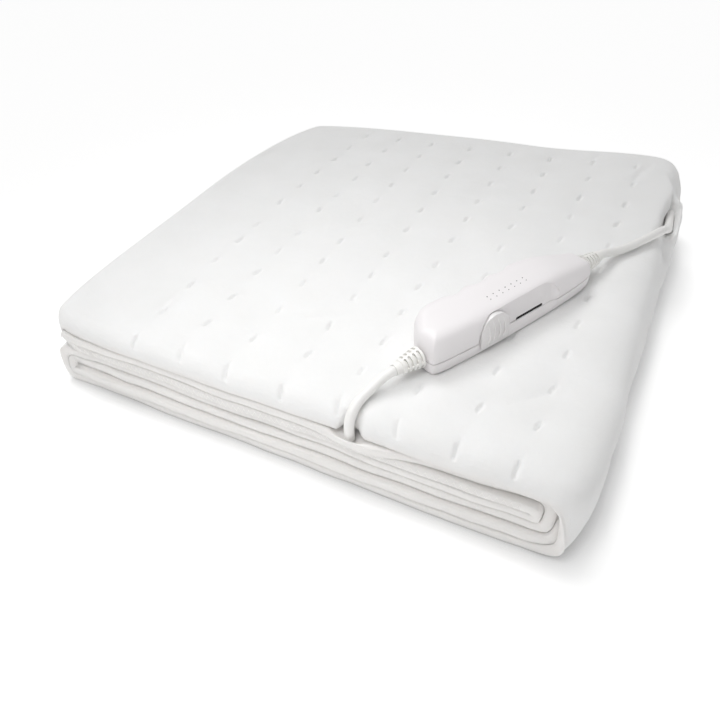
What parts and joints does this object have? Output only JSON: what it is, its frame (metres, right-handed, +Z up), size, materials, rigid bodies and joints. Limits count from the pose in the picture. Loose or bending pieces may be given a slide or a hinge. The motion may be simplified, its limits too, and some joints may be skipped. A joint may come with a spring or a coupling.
{
  "type": "electric heated underblanket, folded",
  "caption": "Quilted electric underblanket folded into a flat square pile, with a hand control on its cord lying on top and a ribbed slider for the heat settings.",
  "frame": {"origin": "middle of the folded pile's box, on the surface that the pile rests on", "axes": "+X along the front edge from left to right, +Y from the front edge, where the hems show, to the back, +Z up"},
  "size_m": [0.4146, 0.4004, 0.0874],
  "materials": {
    "padded_cloth": "soft brushed",
    "moulded_shell": "fine satin",
    "slider_plastic": "fine satin",
    "soft_boot": "smooth",
    "cord_sheath": "smooth"
  },
  "bodies": {
    "folded_blanket": {"blanket": "padded_cloth", "control_top": "moulded_shell", "control_base": "moulded_shell", "boot_front": "soft_boot", "boot_back": "soft_boot", "cord_front": "cord_sheath", "cord_back": "cord_sheath"},
    "slider": {"control_slider": "slider_plastic"}
  },
  "joints": [
    {"name": "slider_slide", "type": "slide", "parent": "folded_blanket", "child": "slider", "axis": [0.4664, 0.8846, 0], "range_m": [0, 0.04]}
  ]
}
